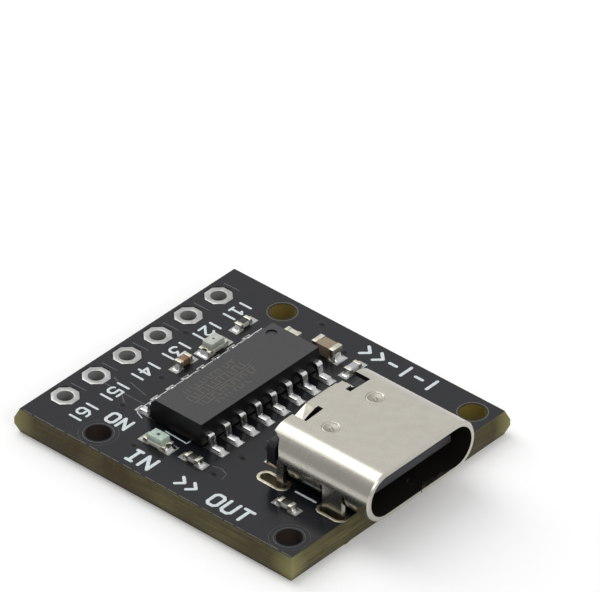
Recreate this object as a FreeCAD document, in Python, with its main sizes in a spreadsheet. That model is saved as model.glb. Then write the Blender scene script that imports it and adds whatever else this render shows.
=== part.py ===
import FreeCAD, Part
import Sketcher
import math
import os
from FreeCAD import Placement, Rotation, Vector

# USB to serial adapter module: a small circuit board with a USB-C receptacle,
# a sixteen-lead chip, six header holes and the small parts around them.
# Millimetres. Origin at the middle of the board's underside, +X towards the
# USB mouth, +Y along the row of header holes, +Z up through the board.

doc = FreeCAD.newDocument("usb_serial_adapter")
sheet = doc.addObject("Spreadsheet::Sheet", "Sizes")


# Sizes and formulas

class Size:
    """A length with the formula that gives it."""

    def __init__(self, value, text):
        self.value = float(value)
        self.text = text

    def __add__(self, other):
        other = as_size(other)
        return Size(self.value + other.value, "(%s + %s)" % (self.text, other.text))

    def __radd__(self, other):
        return as_size(other) + self

    def __sub__(self, other):
        other = as_size(other)
        return Size(self.value - other.value, "(%s - %s)" % (self.text, other.text))

    def __rsub__(self, other):
        return as_size(other) - self

    def __mul__(self, other):
        other = as_size(other)
        return Size(self.value * other.value, "(%s * %s)" % (self.text, other.text))

    def __rmul__(self, other):
        return as_size(other) * self

    def __truediv__(self, other):
        other = as_size(other)
        return Size(self.value / other.value, "(%s / %s)" % (self.text, other.text))

    def __neg__(self):
        return Size(-self.value, "(0 - %s)" % self.text)


def as_size(number):
    if isinstance(number, Size):
        return number
    if number < 0:
        return Size(number, "(0 - %s)" % repr(-float(number)))
    return Size(number, repr(float(number)))


rows = [0]


def size(name, value):
    """Put one driving size in the sheet and return it."""
    rows[0] += 1
    row = rows[0]
    sheet.set("A%d" % row, name)
    sheet.set("B%d" % row, str(value))
    sheet.setAlias("B%d" % row, name)
    return Size(value, "Sizes." + name)


# Board
board_long = size("board_long", 20.32)
board_wide = size("board_wide", 17.78)
board_thick = size("board_thick", 1.6)
mask_thick = size("mask_thick", 0.03)
score_bulge = size("score_bulge", 0.22)
score_web = size("score_web", 0.42)
pad_rise = size("pad_rise", 0.01)

# Header row
header_pitch = size("header_pitch", 2.54)
header_inset = size("header_inset", 1.10)
header_hole = size("header_hole", 0.95)
header_pad = size("header_pad", 1.60)
window_clear = size("window_clear", 0.02)
barrel_wall = size("barrel_wall", 0.06)

# Mounting holes
mount_hole = size("mount_hole", 1.50)
mount_inset = size("mount_inset", 1.27)
mount_span_long = size("mount_span_long", 14.22)

# Vias
via_hole = size("via_hole", 0.30)
via_wall = size("via_wall", 0.05)

# Sixteen-lead chip
chip_x = size("chip_x", -1.98)
chip_margin = size("chip_margin", 0.505)
chip_wide = size("chip_wide", 3.90)
chip_high = size("chip_high", 1.45)
chip_clear = size("chip_clear", 0.14)
chip_draft = size("chip_draft", 7.0)
lead_pitch = size("lead_pitch", 1.27)
lead_wide = size("lead_wide", 0.41)
lead_thick = size("lead_thick", 0.20)
lead_span = size("lead_span", 6.00)
lead_foot = size("lead_foot", 0.62)
lead_root = size("lead_root", 0.25)
lead_pad_long = size("lead_pad_long", 1.45)
lead_pad_wide = size("lead_pad_wide", 0.60)
chip_bevel = size("chip_bevel", 0.28)
chip_dot = size("chip_dot", 0.33)
shoulder_out = size("shoulder_out", 0.36)

# Small chips
small_long = size("small_long", 1.60)
small_wide = size("small_wide", 0.82)
cap_high = size("cap_high", 0.80)
res_high = size("res_high", 0.36)
end_long = size("end_long", 0.32)
tiny_end = size("tiny_end", 0.24)
end_coat = size("end_coat", 0.03)
small_pad_long = size("small_pad_long", 0.80)
small_pad_reach = size("small_pad_reach", 0.36)
tiny_long = size("tiny_long", 1.00)
tiny_wide = size("tiny_wide", 0.50)
tiny_high = size("tiny_high", 0.50)
tiny_pad_long = size("tiny_pad_long", 0.66)
tiny_pad_reach = size("tiny_pad_reach", 0.42)
land_margin = size("land_margin", 0.13)
joint_setback = size("joint_setback", 0.04)
side_gap = size("side_gap", 0.94)
column_gap_low = size("column_gap_low", 0.20)
column_gap_high = size("column_gap_high", 0.61)
row_gap = size("row_gap", 1.15)
pair_gap = size("pair_gap", 0.46)
usb_side_gap = size("usb_side_gap", 1.21)

# Lights
led_base_high = size("led_base_high", 0.28)
led_lens_high = size("led_lens_high", 0.36)
led_lens_long = size("led_lens_long", 1.12)

# USB-C receptacle
usb_wide = size("usb_wide", 8.94)
usb_high = size("usb_high", 3.16)
usb_sheet = size("usb_sheet", 0.30)
usb_clear = size("usb_clear", 0.05)
usb_overhang = size("usb_overhang", 1.62)
usb_long = size("usb_long", 7.38)
slot_out = size("slot_out", 0.08)
slot_rear_in = size("slot_rear_in", 0.45)
slot_rear_long = size("slot_rear_long", 1.80)
slot_front_in = size("slot_front_in", 2.60)
slot_front_long = size("slot_front_long", 1.70)
slot_wide = size("slot_wide", 0.66)
slot_ring = size("slot_ring", 0.20)
leg_reach = size("leg_reach", 1.15)
leg_clear = size("leg_clear", 0.14)
rear_leg = size("rear_leg", 0.50)
foot_out = size("foot_out", 0.56)
peg_in = size("peg_in", 1.10)
peg_dia = size("peg_dia", 0.60)
peg_hole = size("peg_hole", 0.65)
block_depth = size("block_depth", 1.55)
block_clear = size("block_clear", 0.01)
tongue_side_gap = size("tongue_side_gap", 0.825)
tongue_thick = size("tongue_thick", 0.70)
tongue_recess = size("tongue_recess", 0.80)
tongue_bevel = size("tongue_bevel", 0.12)
root_step = size("root_step", 0.28)
root_long = size("root_long", 0.95)
plate_thick = size("plate_thick", 0.15)
plate_lip = size("plate_lip", 0.08)
plate_root = size("plate_root", 0.40)
contact_thick = size("contact_thick", 0.12)
contact_wide = size("contact_wide", 0.25)
dimple_in = size("dimple_in", 2.37)
dimple_row = size("dimple_row", 1.83)
dimple_dia = size("dimple_dia", 1.12)
dimple_deep = size("dimple_deep", 0.16)
tail_land_long = size("tail_land_long", 1.35)
tail_reach = size("tail_reach", 0.90)
tail_wide = size("tail_wide", 0.22)
tail_power_wide = size("tail_power_wide", 0.45)

# Derived places
board_top = board_thick
core_top = board_thick - mask_thick
pad_top = board_thick + pad_rise
header_x = header_inset - board_long / 2
mount_x = board_long / 2 - mount_inset
mount_row = board_wide / 2 - mount_inset
chip_long = 7 * lead_pitch + 2 * chip_margin
usb_bottom = board_thick + usb_clear
usb_radius = usb_high / 2
usb_mid = usb_bottom + usb_radius
usb_top = usb_bottom + usb_high
usb_front = board_long / 2 + usb_overhang
usb_back = usb_front - usb_long
usb_end = usb_wide / 2 - usb_radius
inner_radius = usb_radius - usb_sheet
slot_row = usb_wide / 2 - usb_sheet / 2 + slot_out
slot_rear = usb_back + slot_rear_in
slot_front = usb_front - slot_front_in
foot_half = usb_end + foot_out
tongue_wide = usb_wide - 2 * usb_sheet - 2 * tongue_side_gap

# Small parts stand in a column beside the chip and in rows at its two ends
column_x = chip_x - lead_span / 2 - side_gap
neighbours = (small_long + tiny_long) / 2 + small_pad_reach + tiny_pad_reach
row_y = chip_long / 2 + row_gap


# Making things

names = {}


def new(kind, name):
    """Add an object with a name that isn't used yet."""
    names[name] = names.get(name, 0) + 1
    if names[name] > 1:
        name = "%s_%d" % (name, names[name])
    obj = doc.addObject(kind, name)
    obj.Label = name
    return obj


def bind(obj, prop, length):
    """Tie one property to a size, or set it where it is a plain number."""
    if isinstance(length, Size):
        obj.setExpression(prop, length.text)
    else:
        setattr(obj, prop, length)


def place(obj, x, y, z, turn=None):
    x, y, z = as_size(x), as_size(y), as_size(z)
    obj.Placement = Placement(Vector(x.value, y.value, z.value), turn or Rotation())
    obj.setExpression("Placement.Base.x", x.text)
    obj.setExpression("Placement.Base.y", y.text)
    obj.setExpression("Placement.Base.z", z.text)
    return obj


def box(name, x, y, z, long, wide, high):
    """A block, centred on x and y, standing on z."""
    obj = new("Part::Box", name)
    long, wide, high = as_size(long), as_size(wide), as_size(high)
    bind(obj, "Length", long)
    bind(obj, "Width", wide)
    bind(obj, "Height", high)
    return place(obj, x - long / 2, y - wide / 2, z)


def rod(name, x, y, z, dia, high, turn=None):
    """A round bar, standing on z unless it is turned."""
    obj = new("Part::Cylinder", name)
    bind(obj, "Radius", as_size(dia) / 2)
    bind(obj, "Height", as_size(high))
    return place(obj, x, y, z, turn)


def prism(name, x, y, z, across, high, sides=8):
    """A bar with flat sides, measured across its flats."""
    obj = new("Part::Prism", name)
    obj.Polygon = sides
    bind(obj, "Circumradius", as_size(across) / (2 * math.cos(math.pi / sides)))
    bind(obj, "Height", as_size(high))
    turn = Rotation(Vector(0, 0, 1), 180 / sides)
    return place(obj, x, y, z, turn)


def slot(name, x, y, z, long, wide, high, sides=12):
    """A slot-shaped block with many-sided ends, long along X."""
    long, wide = as_size(long), as_size(wide)
    reach = long / 2 - wide / 2
    parts = [box(name + "_middle", x, y, z, reach * 2, wide, high),
             prism(name + "_end_a", x - reach, y, z, wide, high, sides),
             prism(name + "_end_b", x + reach, y, z, wide, high, sides)]
    return fuse(name, parts)


def fuse(name, parts):
    obj = new("Part::MultiFuse", name)
    obj.Shapes = parts
    obj.Refine = True
    return obj


def group(name, parts):
    obj = new("Part::Compound", name)
    obj.Links = parts
    return obj


def cut(name, base, tool):
    obj = new("Part::Cut", name)
    obj.Base = base
    obj.Tool = tool
    return obj


def common(name, base, tool):
    obj = new("Part::Common", name)
    obj.Base = base
    obj.Tool = tool
    return obj


# Sketches and features

def body(name):
    return new("PartDesign::Body", name)


def plane_of(owner, role):
    for item in owner.Origin.OriginFeatures:
        if item.Role == role:
            return item


def sketch(owner, role, offset=0):
    """A sketch on one of the body's own planes, moved along its normal."""
    obj = owner.newObject("Sketcher::SketchObject", owner.Name + "_sketch")
    obj.AttachmentSupport = [(plane_of(owner, role), "")]
    obj.MapMode = "FlatFace"
    offset = as_size(offset)
    obj.AttachmentOffset = Placement(Vector(0, 0, offset.value), Rotation())
    obj.setExpression("AttachmentOffset.Base.z", offset.text)
    return obj


def pin(sk, item, point, across, up):
    """Fix one point of a sketch at a place given by sizes."""
    for kind, length in (("DistanceX", as_size(across)), ("DistanceY", as_size(up))):
        if length.text == "0.0":
            axis = -2 if kind == "DistanceX" else -1
            sk.addConstraint(Sketcher.Constraint("PointOnObject", item, point, axis))
        else:
            index = sk.addConstraint(
                Sketcher.Constraint(kind, -1, 1, item, point, length.value))
            sk.setExpression("Constraints[%d]" % index, length.text)


def outline(sk, corners):
    """A closed outline of straight lines through the corners."""
    corners = [(as_size(a), as_size(b)) for a, b in corners]
    first = sk.GeometryCount
    count = len(corners)
    for i in range(count):
        a, b = corners[i], corners[(i + 1) % count]
        start = Vector(a[0].value, a[1].value, 0)
        end = Vector(b[0].value, b[1].value, 0)
        sk.addGeometry(Part.LineSegment(start, end), False)
    for i in range(count):
        after = first + (i + 1) % count
        sk.addConstraint(Sketcher.Constraint("Coincident", first + i, 2, after, 1))
    for i in range(count):
        pin(sk, first + i, 1, corners[i][0], corners[i][1])


def rectangle(sk, across, up, long, high):
    """A rectangle, centred."""
    across, up, long, high = (as_size(v) for v in (across, up, long, high))
    outline(sk, [(across - long / 2, up - high / 2), (across + long / 2, up - high / 2),
                 (across + long / 2, up + high / 2), (across - long / 2, up + high / 2)])


def circle(sk, across, up, radius):
    across, up, radius = as_size(across), as_size(up), as_size(radius)
    centre = Vector(across.value, up.value, 0)
    item = sk.addGeometry(Part.Circle(centre, Vector(0, 0, 1), radius.value), False)
    pin(sk, item, 3, across, up)
    index = sk.addConstraint(Sketcher.Constraint("Radius", item, radius.value))
    sk.setExpression("Constraints[%d]" % index, radius.text)


def stadium(sk, reach, up, radius):
    """A slot outline about the vertical axis: round ends, flat top and bottom."""
    reach, up, radius = as_size(reach), as_size(up), as_size(radius)
    r, e, u = radius.value, reach.value, up.value
    normal = Vector(0, 0, 1)
    half = math.pi / 2
    right = Part.ArcOfCircle(Part.Circle(Vector(e, u, 0), normal, r), -half, half)
    left = Part.ArcOfCircle(Part.Circle(Vector(-e, u, 0), normal, r), half, 3 * half)
    a = sk.addGeometry(right, False)
    b = sk.addGeometry(Part.LineSegment(Vector(e, u + r, 0), Vector(-e, u + r, 0)), False)
    c = sk.addGeometry(left, False)
    d = sk.addGeometry(Part.LineSegment(Vector(-e, u - r, 0), Vector(e, u - r, 0)), False)
    sk.addConstraint(Sketcher.Constraint("Tangent", a, 2, b, 1))
    sk.addConstraint(Sketcher.Constraint("Tangent", b, 2, c, 1))
    sk.addConstraint(Sketcher.Constraint("Tangent", c, 2, d, 1))
    sk.addConstraint(Sketcher.Constraint("Tangent", d, 2, a, 1))
    sk.addConstraint(Sketcher.Constraint("Equal", a, c))
    pin(sk, a, 3, reach, up)
    pin(sk, c, 3, -reach, up)
    index = sk.addConstraint(Sketcher.Constraint("Radius", a, r))
    sk.setExpression("Constraints[%d]" % index, radius.text)


def pad(owner, sk, length, middle=False, back=False, taper=None):
    obj = owner.newObject("PartDesign::Pad", owner.Name + "_pad")
    obj.Profile = sk
    bind(obj, "Length", as_size(length))
    if middle:
        obj.SideType = "Symmetric"
    obj.Reversed = back
    if taper is not None:
        bind(obj, "TaperAngle", taper)
    return obj


def pocket(owner, sk, length, middle=False, back=False):
    obj = owner.newObject("PartDesign::Pocket", owner.Name + "_pocket")
    obj.Profile = sk
    bind(obj, "Length", as_size(length))
    if middle:
        obj.SideType = "Symmetric"
    obj.Reversed = back
    return obj


def row_of(owner, feature, role, length, count):
    """Repeat a feature in a straight row."""
    obj = owner.newObject("PartDesign::LinearPattern", owner.Name + "_row")
    obj.Originals = [feature]
    obj.Direction = (plane_of(owner, role), [""])
    bind(obj, "Length", as_size(length))
    obj.Occurrences = count
    owner.Tip = obj
    return obj


def ease_edges(owner, feature, kind, length, wanted):
    """Round or bevel the edges of a feature that the test picks."""
    doc.recompute()
    chosen = []
    for index, edge in enumerate(feature.Shape.Edges):
        if wanted(edge):
            chosen.append("Edge%d" % (index + 1))
    obj = owner.newObject("PartDesign::" + kind, owner.Name + "_eased")
    obj.Base = (feature, chosen)
    bind(obj, "Radius" if kind == "Fillet" else "Size", as_size(length))
    return obj


nodes = []


def node(name, obj):
    """Name a finished piece, which is written to a file of that name."""
    obj.Label = name
    nodes.append((name, obj))
    return obj


# Holes, plated barrels and pads

def ys(pitch, count):
    return [(i - (count - 1) / 2) * pitch for i in range(count)]


header_y = ys(header_pitch, 6)
mount_places = [(mount_x - i * mount_span_long, j * mount_row)
                for i in (0, 1) for j in (-1, 1)]
edge_y = board_wide / 2
via_places = [(-3.07, 1.73 - edge_y), (-2.81, edge_y - 0.73),
              (1.98, -row_y - 0.06), (-0.10, row_y + 0.92),
              (-6.06, -4.86), (-1.88, -0.80), (-1.83, -2.92), (2.20, -4.04),
              (2.64, -2.48), (2.57, 2.42), (-8.04, 2.49), (-6.18, -1.53),
              (-2.81, 0.75), (-2.15, 3.19), (-2.66, 4.48)]

core_holes = []
mask_holes = []
header_parts = []
header_window = header_pad / math.cos(math.pi / 8) + 2 * window_clear
for y in header_y:
    wall = header_hole + 2 * barrel_wall
    core_holes.append(prism("header_bore", header_x, y, 0, wall, board_thick, 12))
    mask_holes.append(prism("header_window", header_x, y, 0, header_window,
                            board_thick, 12))
    solid = fuse("header_blank", [
        prism("header_tube", header_x, y, 0, wall, pad_top, 12),
        prism("header_pad_low", header_x, y, 0, header_pad, mask_thick),
        prism("header_pad_high", header_x, y, core_top, header_pad,
              mask_thick + pad_rise)])
    bore = rod("header_through", header_x, y, 0, header_hole, pad_top)
    header_parts.append(cut("header_eyelet", solid, bore))
node("header_eyelets", group("header_eyelets", header_parts))

for x, y in mount_places:
    core_holes.append(rod("mount_bore", x, y, 0, mount_hole, board_thick))
    mask_holes.append(prism("mount_window", x, y, 0, mount_hole, board_thick, 16))

# The coats cover the vias
via_parts = []
for x, y in via_places:
    wall = via_hole + 2 * via_wall
    core_holes.append(prism("via_bore", x, y, 0, wall, board_thick, 6))
    tube = prism("via_tube", x, y, mask_thick, wall, core_top - mask_thick, 6)
    via_parts.append(cut("via_barrel", tube,
                         prism("via_through", x, y, 0, via_hole, board_thick, 6)))
node("via_barrels", group("via_barrels", via_parts))

slot_parts = []
for x, long in ((slot_rear, slot_rear_long), (slot_front, slot_front_long)):
    for side in (-1, 1):
        y = side * slot_row
        wall = 2 * barrel_wall
        ring = 2 * slot_ring
        core_holes.append(slot("slot_bore", x, y, 0, long + wall, slot_wide + wall,
                               board_thick, 8))
        mask_holes.append(slot("slot_window", x, y, 0, long + ring, slot_wide + ring,
                               board_thick))
        solid = fuse("slot_blank", [
            slot("slot_tube", x, y, 0, long + wall, slot_wide + wall, pad_top, 8),
            slot("slot_pad_low", x, y, 0, long + ring, slot_wide + ring, mask_thick),
            slot("slot_pad_high", x, y, core_top, long + ring, slot_wide + ring,
                 mask_thick + pad_rise)])
        slot_parts.append(cut("slot_eyelet", solid,
                              slot("slot_through", x, y, 0, long, slot_wide, pad_top)))
node("slot_eyelets", group("slot_eyelets", slot_parts))

peg_x = usb_back + peg_in
for side in (-1, 1):
    for holes in (core_holes, mask_holes):
        holes.append(prism("peg_bore", peg_x, side * usb_end, 0, peg_hole, board_thick,
                           16))

# Tinned pads of the surface parts

pads = []
pad_high = mask_thick + pad_rise


def land(x, y, long, wide):
    pads.append(box("land", x, y, core_top, long, wide, pad_high))


lead_y = ys(lead_pitch, 8)
lead_tip = lead_span / 2
land_mid = lead_tip + 0.32 - lead_pad_long / 2
for side in (-1, 1):
    for y in lead_y:
        land(chip_x + side * land_mid, y, lead_pad_long, lead_pad_wide)
chip_lands = group("chip_lands", list(pads))
pads_chip = list(pads)
pads.clear()

tail_x = usb_back - tail_reach
tail_land_x = tail_x - 0.22 + tail_land_long / 2
signal_y = [i * 0.5 + 0.25 for i in range(-4, 4)]
power_y = (usb_end - 0.49, usb_end + 0.31)
for y in signal_y:
    land(tail_land_x, y, tail_land_long, 0.30)
for side in (-1, 1):
    for y in power_y:
        land(tail_land_x, side * y, tail_land_long, 0.60)
pads_usb = list(pads)
pads.clear()


# Small two-ended chips

def turned(along, a, b):
    return (a, b) if along == "x" else (b, a)


solder_parts = []
wedge_up = Rotation(Vector(1, 0, 0), 90)


def solder(x, y, wide, high, reach, direction):
    """A sloping joint against an end face, its foot reaching away from it."""
    obj = new("Part::Wedge", "joint")
    for prop in ("Xmin", "Ymin", "Zmin", "X2min", "Z2min"):
        setattr(obj, prop, 0)
    bind(obj, "Xmax", as_size(reach))
    bind(obj, "Ymax", as_size(high))
    bind(obj, "Zmax", as_size(wide))
    bind(obj, "X2max", as_size(reach) * 0.18)
    bind(obj, "Z2min", as_size(wide) * 0.08)
    bind(obj, "Z2max", as_size(wide) * 0.92)
    angle = {"+x": 0, "+y": 90, "-x": 180, "-y": 270}[direction]
    turn = Rotation(Vector(0, 0, 1), angle) * wedge_up
    half = as_size(wide) / 2
    dx, dy = {"+x": (0, 1), "+y": (-1, 0), "-x": (0, -1), "-y": (1, 0)}[direction]
    return place(obj, x + half * dx, y + half * dy, pad_top, turn)


def two_ended(name, x, y, along, sizes, high, solder_high):
    """A chip with a body and two plated ends, its lands and its joints."""
    long, wide, end, pad_long, pad_reach = sizes
    core = box(name + "_core", x, y, pad_top + end_coat,
               *turned(along, long - 2 * end_coat, wide - 2 * end_coat),
               high - 2 * end_coat)
    ends = []
    for side in (-1, 1):
        shift = side * (long / 2 - end / 2)
        px, py = (x + shift, y) if along == "x" else (x, y + shift)
        cap = box(name + "_end", px, py, pad_top, *turned(along, end, wide), high)
        ends.append(cut(name + "_end_cup", cap, core))
        mid = side * (long / 2 + pad_reach - pad_long / 2)
        px, py = (x + mid, y) if along == "x" else (x, y + mid)
        land(px, py, *turned(along, pad_long, wide + land_margin))
        tip = side * long / 2
        px, py = (x + tip, y) if along == "x" else (x, y + tip)
        sign = "+" if side > 0 else "-"
        solder_parts.append(solder(px, py, wide, solder_high,
                                   pad_reach - joint_setback, sign + along))
    node(name + "_body", core)
    node(name + "_ends", group(name + "_ends", ends))


small = (small_long, small_wide, end_long, small_pad_long, small_pad_reach)
tiny = (tiny_long, tiny_wide, tiny_end, tiny_pad_long, tiny_pad_reach)
light_x = chip_x - 0.20
light_y = as_size(2.48)
two_ended("capacitor_brown", column_x - 0.20, light_y - neighbours - column_gap_low, "y",
          tiny, tiny_high, tiny_high * 0.6)
two_ended("capacitor_tan", chip_x + 1.20, row_y + 0.20, "x", small, cap_high,
          cap_high * 0.62)
two_ended("capacitor_small", chip_x - 1.22, row_y, "x", tiny, tiny_high, tiny_high * 0.6)
two_ended("resistor_data", column_x - 0.18, light_y + neighbours + column_gap_high, "y",
          tiny, res_high, res_high * 0.8)
two_ended("resistor_power", light_x + neighbours + pair_gap, 0.08 - row_y, "x", tiny,
          res_high, res_high * 0.8)
two_ended("resistor_left", usb_front - 4.82, -usb_wide / 2 - usb_side_gap, "x", tiny,
          res_high, res_high * 0.8)
two_ended("resistor_right", chip_x + 3.31, row_y, "y", tiny, res_high, res_high * 0.8)


# Indicator lights

def light(name, x, y, along):
    """A light: base plate with plated ends and a moulded clear lens."""
    long, wide = small_long, small_wide
    base = box(name + "_plate", x, y, pad_top, *turned(along, long - 2 * end_long, wide),
               led_base_high)
    ends = []
    for side in (-1, 1):
        shift = side * (long / 2 - end_long / 2)
        px, py = (x + shift, y) if along == "x" else (x, y + shift)
        block = box(name + "_end", px, py, pad_top, *turned(along, end_long, wide),
                    led_base_high)
        tip = side * long / 2
        bx, by = (x + tip, y) if along == "x" else (x, y + tip)
        notch = rod(name + "_notch", bx, by, pad_top, wide * 0.42, led_base_high)
        ends.append(cut(name + "_end_cut", block, notch))
        reach = long / 2 + small_pad_reach
        mid = side * (reach - small_pad_long / 2)
        lx, ly = (x + mid, y) if along == "x" else (x, y + mid)
        land(lx, ly, *turned(along, small_pad_long, wide + land_margin))
        sign = "+" if side > 0 else "-"
        solder_parts.append(solder(bx, by, wide, led_base_high * 0.9,
                                   small_pad_reach - joint_setback, sign + along))
    lens = body(name + "_lens")
    sk = sketch(lens, "XY_Plane", pad_top + led_base_high)
    rectangle(sk, x, y, *turned(along, led_lens_long, wide - 0.04))
    pad(lens, sk, led_lens_high, taper=as_size(-7))
    node(name + "_base", base)
    node(name + "_ends", group(name + "_ends", ends))
    node(name + "_lens", lens)


light("power_light", light_x, -row_y - 0.02, "x")
light("data_light", column_x, light_y, "y")

pads_small = list(pads)
pads.clear()
node("chip_lands", group("chip_lands_all", pads_chip))
node("usb_lands", group("usb_lands", pads_usb))
node("small_lands", group("small_lands", pads_small))
node("small_joints", group("small_joints", solder_parts))

# Board core with its scored edges, and the two coats of mask


def scored(name, z, high, grow_low, grow_high):
    """One band of the board's edge, its outline changing from low to high."""
    obj = new("Part::Wedge", name)
    bind(obj, "Xmin", -(board_long / 2 + grow_low))
    bind(obj, "Xmax", board_long / 2 + grow_low)
    bind(obj, "Zmin", -(board_wide / 2 + grow_low))
    bind(obj, "Zmax", board_wide / 2 + grow_low)
    bind(obj, "X2min", -(board_long / 2 + grow_high))
    bind(obj, "X2max", board_long / 2 + grow_high)
    bind(obj, "Z2min", -(board_wide / 2 + grow_high))
    bind(obj, "Z2max", board_wide / 2 + grow_high)
    obj.Ymin = 0
    bind(obj, "Ymax", high)
    return place(obj, 0, 0, z, wedge_up)


zero = as_size(0)
bevel = (board_thick - 2 * mask_thick - score_web) / 2
blank = fuse("board_blank", [
    scored("edge_low", mask_thick, bevel, zero, score_bulge),
    box("edge_web", zero, zero, mask_thick + bevel, board_long + 2 * score_bulge,
        board_wide + 2 * score_bulge, score_web),
    scored("edge_high", mask_thick + bevel + score_web, bevel, score_bulge, zero)])
node("board_core", cut("board_core", blank, group("core_holes", core_holes)))
lands = group("land_windows", pads_chip + pads_usb + pads_small)
sheet_low = box("mask_sheet_low", zero, zero, 0, board_long, board_wide, mask_thick)
sheet_high = box("mask_sheet_high", zero, zero, core_top, board_long, board_wide,
                 mask_thick)
holes = group("mask_holes", mask_holes)
node("mask_under", cut("mask_under", sheet_low, holes))
node("mask_top", cut("mask_top", cut("mask_top_holed", sheet_high, holes), lands))

# Chip: moulded body and gull-wing leads

body_low = pad_top + chip_clear - pad_rise
split = body_low + chip_high * 0.48
strip = body("lead_strip")
sk = sketch(strip, "XZ_Plane")
inner = chip_wide / 2 - lead_root
shoulder = chip_wide / 2 + shoulder_out
ankle = lead_tip - lead_foot
top_line = split + lead_thick / 2
foot_line = pad_top
outline(sk, [
    (inner, top_line - lead_thick), (shoulder - lead_thick * 0.75, top_line - lead_thick),
    (ankle - lead_thick * 0.6, foot_line), (lead_tip, foot_line),
    (lead_tip, foot_line + lead_thick), (ankle + lead_thick * 0.3, foot_line + lead_thick),
    (shoulder + lead_thick * 0.15, top_line), (inner, top_line)])
strip_pad = pad(strip, sk, lead_pitch * 8, middle=True)
bends = ease_edges(strip, strip_pad, "Fillet", lead_thick, lambda edge: (
    edge.Length > 5 and lead_tip.value - 0.1 > abs(edge.CenterOfMass.x) > inner.value + 0.1
    and (edge.CenterOfMass.z > split.value or edge.CenterOfMass.z < foot_line.value + 0.01)))
strip.Tip = bends
comb = body("lead_comb")
sk = sketch(comb, "XZ_Plane", lead_pitch * 3.5)
rectangle(sk, lead_tip / 2 + inner / 2, pad_top + chip_high / 2, lead_tip - inner + 0.4,
          chip_high + 0.8)
tooth = pad(comb, sk, lead_wide, middle=True)
row_of(comb, tooth, "Y_Axis", lead_pitch * 7, 8)
side_leads = common("lead_side", strip, comb)
other = new("Part::Mirroring", "lead_other_side")
other.Source = side_leads
other.Base = Vector(0, 0, 0)
other.Normal = Vector(1, 0, 0)
all_leads = group("lead_rows", [side_leads, other])
place(all_leads, chip_x, 0, 0)
node("chip_leads", all_leads)

mould = body("chip_mould")
sk = sketch(mould, "XY_Plane", split)
rectangle(sk, chip_x, zero, chip_wide, chip_long)
pad(mould, sk, chip_high * 0.52, taper=-chip_draft)
sk = sketch(mould, "XY_Plane", split)
rectangle(sk, chip_x, zero, chip_wide, chip_long)
two_halves = pad(mould, sk, chip_high * 0.48, back=True, taper=-chip_draft)
mould_top = body_low + chip_high
ease_edges(mould, two_halves, "Chamfer", chip_bevel, lambda edge: (
    edge.BoundBox.YLength > chip_long.value / 2
    and edge.CenterOfMass.z > mould_top.value - 0.01
    and edge.CenterOfMass.x < chip_x.value))
sk = sketch(mould, "XY_Plane", mould_top)
circle(sk, chip_x - chip_wide / 2 + 0.82 + chip_bevel / 2, chip_long / 2 - 0.85, chip_dot)
pocket(mould, sk, 0.08)
node("chip_body", cut("chip_body", mould, all_leads))

# Joints of the chip's leads: a sloping toe in front of each foot

toe = body("toe_strip")
sk = sketch(toe, "XZ_Plane")
outline(sk, [(lead_tip, pad_top), (lead_tip + 0.30, pad_top),
             (lead_tip + 0.10, pad_top + lead_thick * 0.5),
             (lead_tip, pad_top + lead_thick * 1.0)])
pad(toe, sk, lead_pitch * 8, middle=True)
toe_comb = body("toe_comb")
sk = sketch(toe_comb, "XZ_Plane", lead_pitch * 3.5)
rectangle(sk, lead_tip + 0.2, pad_top + 0.2, as_size(0.8), as_size(0.9))
tooth = pad(toe_comb, sk, lead_wide + 0.12, middle=True)
row_of(toe_comb, tooth, "Y_Axis", lead_pitch * 7, 8)
side_toes = common("toe_side", toe, toe_comb)
other = new("Part::Mirroring", "toe_other_side")
other.Source = side_toes
other.Base = Vector(0, 0, 0)
other.Normal = Vector(1, 0, 0)
toes = group("toe_rows", [side_toes, other])
place(toes, chip_x, 0, 0)
node("chip_joints", toes)

# USB-C contacts: a strip on the tongue, a jog in the block, a tail and a foot

back_face = usb_back - 0.05
tongue_front = usb_front - tongue_recess
block_front = back_face + block_depth
level_high = usb_mid + tongue_thick / 2 - contact_thick + 0.04
level_low = usb_mid - tongue_thick / 2 - 0.04
tail_back = back_face + 0.10
shoulder_x = back_face + 0.82
belly = shoulder_x + 1.10
side_edge = back_face + 0.88
foot_high = 0.15


def strip_box(name, x_from, x_to, y_from, y_to, z, high):
    x_from, x_to, y_from, y_to = (as_size(v) for v in (x_from, x_to, y_from, y_to))
    return box(name, (x_from + x_to) / 2, (y_from + y_to) / 2, z, x_to - x_from,
               y_to - y_from, high)


def contact_path(level, y_front, y_rear, jog_x, rear_wide, front_reach):
    """Blocks of one contact: its strip, its jog and the run to the back."""
    half = contact_wide / 2
    rear = as_size(rear_wide) / 2
    low, high = sorted((as_size(y_front), as_size(y_rear)), key=lambda y: y.value)
    parts = [strip_box("contact_strip", jog_x, tongue_front - front_reach,
                       y_front - half, y_front + half, level, contact_thick)]
    parts.append(strip_box("contact_jog", jog_x, jog_x + 0.2, low - half, high + half,
                           level, contact_thick))
    parts.append(strip_box("contact_run", tail_back, jog_x + 0.2, y_rear - rear,
                           y_rear + rear, level, contact_thick))
    return parts


def tail(y, wide, level):
    """The drop inside the block's back and the foot on its land."""
    half = as_size(wide) / 2
    drop = strip_box("tail_drop", tail_back, tail_back + foot_high, y - half, y + half,
                     pad_top, level + contact_thick - pad_top)
    foot = strip_box("tail_foot", tail_x, tail_back + foot_high, y - half, y + half,
                     pad_top, foot_high)
    return [drop, foot]


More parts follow.
